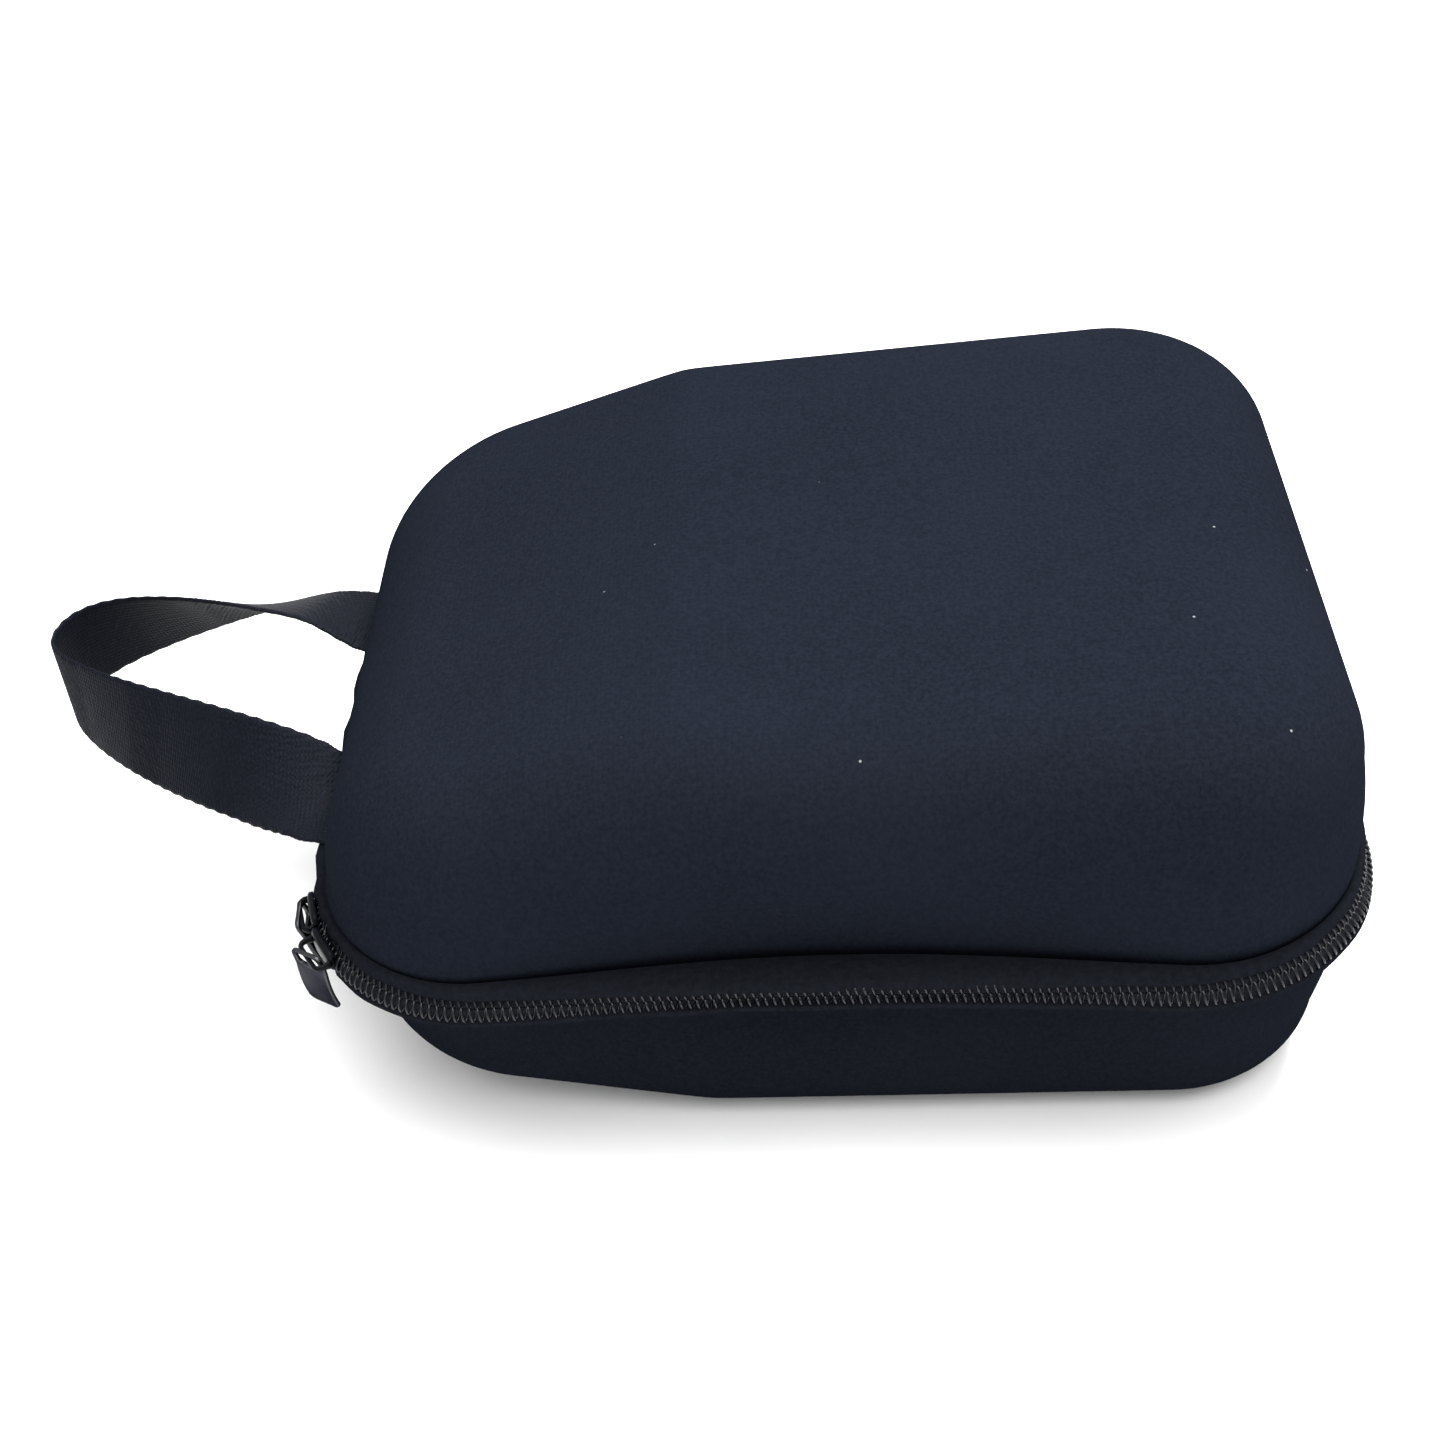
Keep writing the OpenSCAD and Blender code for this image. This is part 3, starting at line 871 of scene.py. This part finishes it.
def strap_rings(line):
    """Cross-sections of the webbing along its line, woven in ribs with a worn brick pattern."""
    centre, lean = line[:, :3], np.radians(line[:, 3])
    along = unit(np.gradient(centre, axis=0))
    outward = unit(np.cross([0.0, 0.0, 1.0], along))
    upward = np.cross(along, outward)
    face = np.cos(lean)[:, None] * upward + np.sin(lean)[:, None] * outward
    across = np.cross(along, face)
    rib = 2 * math.pi * np.arange(len(line)) / PER_RIB
    patch = np.clip(1.5 * np.sin(np.arange(len(line)) / PER_RIB * RIB_PITCH / 4.5), 0, 1)
    side = np.linspace(-1, 1, STRAP_COLUMNS)
    edge = np.clip((1 - np.abs(side)) * STRAP_W / 2 / 0.8, 0, 1) ** 0.5
    rings = []
    for i in range(len(line)):
        half = STRAP_W / 2 + 0.05 * math.cos(rib[i]) + 0.12 * math.sin(rib[i] / 5.3)
        brick = np.where(np.sin(side * STRAP_W * math.pi / 1.9 + 0.4 * rib[i]) > 0, 0.5, -0.5)
        wave = np.cos(rib[i] + 2.2 * side + brick * math.pi * patch[i])
        rise = (RIB_RISE + BRICK_RISE * patch[i]) * wave
        top = (STRAP_T / 2 - 0.15 + rise) * (0.35 + 0.65 * edge)
        low = (STRAP_T / 2 - 0.15 - rise) * (0.35 + 0.65 * edge)
        upper = centre[i] + across[i] * (side * half)[:, None] + face[i] * top[:, None]
        lower = centre[i] + across[i] * (side * half)[:, None] - face[i] * low[:, None]
        rings.append(np.vstack([upper, lower[::-1]]))
    return rings


def add_handle(webbing):
    """Webbing loop with a half twist, and its ends inside the lid's wall."""
    knots = loop_knots()
    _, length = smooth_curve(knots, 10)
    line, length = smooth_curve(knots, int(length / RIB_PITCH) * PER_RIB + 1)
    rings = strap_rings(line)
    piece = loft("handle_webbing", rings, webbing)
    cut_root(piece)
    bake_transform(piece)
    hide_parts("handle_strap", "handle_ends")


def add_bartacks(thread):
    """A zigzag of thread across each sewn end."""
    for k, y in enumerate((NEAR_Y, FAR_Y)):
        zigzag = [
            (CASE_END - 1.3 + 0.7 * (j % 2), y - STRAP_W / 2 + 2 + j * TACK_STEP,
             STRAP_Z + STRAP_T / 2 + 0.15)
            for j in range(int((STRAP_W - 4) / TACK_STEP))
        ]
        path = np.array(zigzag)
        lift = np.tile([0.0, 0.0, 1.0], (len(path), 1))
        bead = loft(f"handle_bartack_{k + 1}", tube_points(path, 0.2, 6, lift), thread)
        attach(bead, "lid")
        if k == 0:
            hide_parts("handle_bartacks")


# ---- sliders and pulls ----

PLATE_R = CORNER_R + FLANGE + 0.25
PLATE_T = 0.8
BAR_R = 0.58
HEAD_UP = 1.5
HOLE_W, HOLE_H = 5.8, 3.0
HOLE_Z = BAR_R + 0.15 - HOLE_H / 2
PULL_LEN, PULL_W = 14.0, 8.0
PULL_T = 0.9


def corner_frame(pull_joint):
    """Turns points of a slider's own frame, X outwards and Y along the zipper, into the case's."""
    centre = NARROW_C * MIRROR
    place = np.array(joint(pull_joint)["pos_m"][:2]) / MM - centre
    angle = math.atan2(place[1], place[0])
    c, s = math.cos(angle), math.sin(angle)

    def to_case(points):
        p = np.asarray(points, float)
        return np.stack(
            [centre[0] + c * p[..., 0] - s * p[..., 1], centre[1] + s * p[..., 0] + c * p[..., 1],
             SEAM + p[..., 2]], -1)

    return to_case


def slider_shell(head, inset):
    """Outer plate of a slider, rounded and turned in over the chain, as rings along Y.

    head is 1 or -1: the end that is wide, where the two rows part. inset is how far the slider is
    drawn in with the rim."""
    rings = []
    for t in np.linspace(-1, 1, 25):
        end = math.sqrt(max(1 - abs(t) ** 6, 0.0))
        widen = 0.5 + 0.5 * math.tanh(2.5 * t * head)
        half = (1.8 + 0.5 * widen) * (0.6 + 0.4 * end)
        inner = PLATE_R - inset
        outer = inner + 0.35 + 0.25 * (1 - t * t) + 0.2 * end
        hook = inner - 1.5
        section = [
            (hook, -half - 0.15), (hook, -half - 0.7), (inner, -half - 0.7),
            (outer - 0.3, -half - 0.45), (outer - 0.05, -half + 0.2), (outer, -half * 0.4),
            (outer, half * 0.4), (outer - 0.05, half - 0.2), (outer - 0.3, half + 0.45),
            (inner, half + 0.7), (hook + 0.7, half + 0.7), (hook + 0.7, half + 0.2),
            (inner, half + 0.1), (inner, -half - 0.1),
        ]
        rings.append([(x, 4.6 * t, z) for x, z in section])
    return np.array(rings)


def add_slider(which, metals, head, twist, lean, inset, arch):
    """One slider with its bridge and its pull.

    head and inset are slider_shell()'s. arch is how far the bridge stands off the plate, and twist
    and lean turn the pull about its own length and away from the case, in degrees."""
    body_metal, pull_metal = metals
    to_case = corner_frame(f"pull_{which}_swing")
    piece = loft(f"slider_{which}_casting", to_case(slider_shell(head, inset)), body_metal)
    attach(piece, f"slider_{which}")
    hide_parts(f"slider_{which}_body")

    foot = PLATE_R - inset + 0.4
    bar_out = PLATE_R - inset + PLATE_T + arch
    knots = [
        (foot, -4.4, 0), (foot + 0.8, -4.6, 0), (bar_out - 0.9, -4.5, 0),
        (bar_out - 0.15, -3.8, 0), (bar_out, -2.4, 0), (bar_out, 2.4, 0),
        (bar_out - 0.15, 3.8, 0), (bar_out - 0.9, 4.5, 0), (foot + 0.8, 4.6, 0), (foot, 4.4, 0),
    ]
    line, _ = smooth_curve(knots, 48)
    up = np.tile([0.0, 0.0, 1.0], (len(line), 1))
    stance = np.abs(np.linspace(-1, 1, len(line))) ** 4
    size = np.c_[BAR_R + 0.5 * stance, np.full(len(line), 0.52)]
    bridge = loft(f"slider_{which}_arch", to_case(tube_points(line, size, 14, up)), body_metal)
    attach(bridge, f"slider_{which}")
    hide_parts(f"slider_{which}_bridge")

    tab = make_pull(f"pull_{which}_tab", to_case, twist, lean, bar_out, pull_metal)
    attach(tab, f"pull_{which}")
    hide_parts(f"pull_{which}")


def rounded(width, low, high, r, count):
    """Closed outline of a rounded rectangle, as (across, up), with evenly spaced points."""
    points = []
    for k, (x, z) in enumerate(((1, 1), (-1, 1), (-1, -1), (1, -1))):
        centre = np.array([x * (width / 2 - r), (high - r) if z > 0 else (low + r)])
        a = np.radians(np.linspace(90 * k, 90 * k + 90, 9))
        points.append(centre + r * np.c_[np.cos(a), np.sin(a)])
    points = np.vstack([*points, points[0][:1]])
    walked = np.r_[0, np.cumsum(np.linalg.norm(np.diff(points, axis=0), axis=1))]
    at = np.linspace(0, walked[-1], count, endpoint=False)
    return np.c_[np.interp(at, walked, points[:, 0]), np.interp(at, walked, points[:, 1])]


def reached(shape, centre, angle):
    """Points of a closed outline in the given directions from a centre."""
    own = np.arctan2(shape[:, 1] - centre, shape[:, 0])
    order = np.argsort(own)
    looped = np.r_[own[order] - 2 * math.pi, own[order], own[order] + 2 * math.pi]
    return np.c_[[np.interp(angle, looped, np.tile(shape[order, i], 3)) for i in (0, 1)]].T


def make_pull(name, to_case, twist, lean, bar_out, metal):
    """A cast blade, slightly dished, that hangs on the bridge by the slot in its head."""
    count, steps = 144, 14
    edge = rounded(PULL_W, -PULL_LEN, HEAD_UP, 1.5, count)
    slot = rounded(HOLE_W, HOLE_Z - HOLE_H / 2, HOLE_Z + HOLE_H / 2, 1.1, count)
    angle = np.arctan2((edge[:, 1] - HOLE_Z) / HOLE_H, edge[:, 0] / HOLE_W)
    angle = np.arctan2(np.sin(angle) * HOLE_H, np.cos(angle) * HOLE_W)
    hole = reached(slot, HOLE_Z, angle)
    reach = np.linalg.norm(edge - hole, axis=1)
    soft = 0.3  # radius of the rounded edges
    rings = []
    for side in (1, -1):
        for k in np.linspace(0, 1, steps)[:: side]:
            share = 0.5 - 0.5 * math.cos(math.pi * k)
            flat = hole + (edge - hole) * share
            near_edge = np.minimum(share, 1 - share) * reach / soft
            fall = np.clip(1 - near_edge, 0, 1)
            half = (PULL_T / 2 - soft) + soft * np.sqrt(1 - fall**2)
            x, z = flat[:, 0], flat[:, 1]
            drop = np.clip((-z - 3) / (PULL_LEN - 3), 0, 1)
            dish = 0.35 * (1 - (x / PULL_W * 2) ** 2) * np.sin(math.pi * drop)
            bend = 0.5 * np.sin(math.pi * drop)
            rings.append(np.c_[bend - dish + side * half, x, z])
    rings = np.array(rings)
    c, s = math.cos(math.radians(twist)), math.sin(math.radians(twist))
    turned = np.stack([c * rings[..., 0] - s * rings[..., 1],
                       s * rings[..., 0] + c * rings[..., 1], rings[..., 2]], -1)
    c, s = math.cos(math.radians(lean)), math.sin(math.radians(lean))
    leaned = np.stack([bar_out + c * turned[..., 0] + s * turned[..., 2], turned[..., 1],
                       c * turned[..., 2] - s * turned[..., 0]], -1)
    faces = grid_faces(2 * steps, count, close_rows=True, close_columns=True)
    return make_mesh(name, to_case(leaned).reshape(-1, 3), faces, metal)


# ---- floor and light ----


def add_floor(material):
    """The table top under the case."""
    size = 4000.0
    corners = [(-size, -size, 0), (size, -size, 0), (size, size, 0), (-size, size, 0)]
    floor = make_mesh("floor", corners, [(0, 1, 2, 3)], material)


def add_area(name, place, target, size, power):
    """A square lamp in metres and watts, facing its target."""
    data = bpy.data.lights.new(name, "AREA")
    data.energy = power
    data.size = size
    light = bpy.data.objects.new(name, data)
    light.location = place
    light.rotation_euler = (Vector(target) - Vector(place)).to_track_quat("-Z", "Y").to_euler()
    bpy.context.scene.collection.objects.link(light)


def add_light():
    """White surroundings, a small lamp behind the case and a large one above it."""
    world = bpy.data.worlds.new("studio")
    bpy.context.scene.world = world
    world.use_nodes = True
    sky = world.node_tree.nodes["Background"]
    sky.inputs["Color"].default_value = (1.0, 1.0, 1.0, 1.0)
    sky.inputs["Strength"].default_value = 0.78
    add_area("key", (0.45, 0.6, 1.2), (0, 0, 0.05), 0.45, 24.0)
    add_area("top", (0.15, -0.25, 1.3), (0, -0.02, 0.0), 1.5, 35.0)
    bpy.context.scene.view_settings.view_transform = "Standard"


def build():
    """Camera, materials, pieces, floor and light."""
    add_camera()
    cover = knit_material("cover_knit", (0.0067, 0.0083, 0.0127), sheen=0.002)
    # The base wears the lid's knit in a darker copy: painted shade for its walls, which face down and away
    # from the lamps.
    under = knit_material("base_knit_painted_shade", (0.0056, 0.0068, 0.0100), sheen=0.001, specks=False)
    lip = knit_material("lip_knit", (0.0056, 0.0064, 0.0086), stitch=0.7, sheen=0.004, specks=False)
    lining = knit_material("lining_tricot", (0.020, 0.020, 0.023), stitch=0.8, specks=False)
    tape = woven_material("zipper_tape_weave", (0.0085, 0.0095, 0.0125))
    webbing = woven_material("webbing_weave", (0.0046, 0.0055, 0.0090), 0.5, 0.5, 0.001)
    thread = woven_material("thread_twist", (0.015, 0.015, 0.018), 0.3, 0.5)
    coil = nylon_material("nylon", (0.0050, 0.0057, 0.0082))
    lacquer = lacquer_material("black_enamel", (0.0034, 0.0039, 0.0058))
    gunmetal = metal_material("gunmetal", (0.062, 0.063, 0.068), 0.34, 0.05)
    add_shells({"base": under, "lid": cover}, foam_material(), lining)
    add_lips(lip)
    add_tapes(tape)
    add_coils(coil)
    add_bindings(tape)
    add_hinge(lip, lining)
    add_end_tabs(lip)
    add_pocket(mesh_material())
    add_elastic(tape)
    add_handle(webbing)
    add_bartacks(thread)
    metals = (lacquer, gunmetal)
    add_slider("front", metals, head=-1, twist=26.0, lean=5.0, inset=0.0, arch=2.7)
    add_slider("rear", metals, head=1, twist=-14.0, lean=16.0, inset=1.0, arch=1.8)
    add_floor(floor_material())
    add_light()


build()
